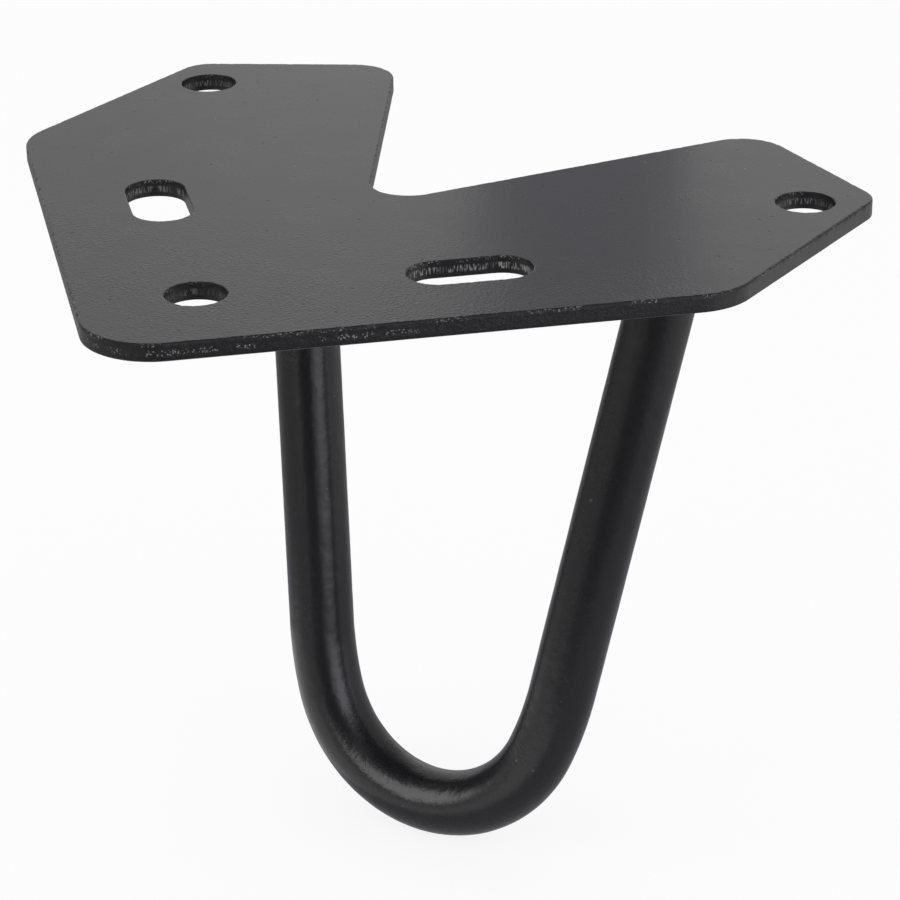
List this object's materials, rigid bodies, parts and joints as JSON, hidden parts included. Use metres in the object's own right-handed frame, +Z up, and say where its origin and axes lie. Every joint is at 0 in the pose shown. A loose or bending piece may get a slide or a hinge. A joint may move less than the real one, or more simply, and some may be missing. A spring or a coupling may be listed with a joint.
{
  "type": "hairpin table leg",
  "caption": "Short hairpin table leg: a notched steel corner plate with screw holes and slots, and a bent round rod welded under it.",
  "frame": {"origin": "centre of the corner screw hole, on the plate's top face", "axes": "+Z up, out of the top face that lies against the table; +X and +Y along the plate's two outer edges, towards the ends of its arms"},
  "size_m": [0.1348, 0.1348, 0.127],
  "materials": {
    "plate_coating": "satin black powder coat with fine orange peel",
    "rod_coating": "satin black powder coat",
    "weld_coating": "satin black powder coat over a rippled weld"
  },
  "bodies": {
    "root": {"mounting_plate": "plate_coating", "hairpin_rod": "rod_coating", "weld_bead_right": "weld_coating", "weld_bead_left": "weld_coating"}
  },
  "joints": []
}
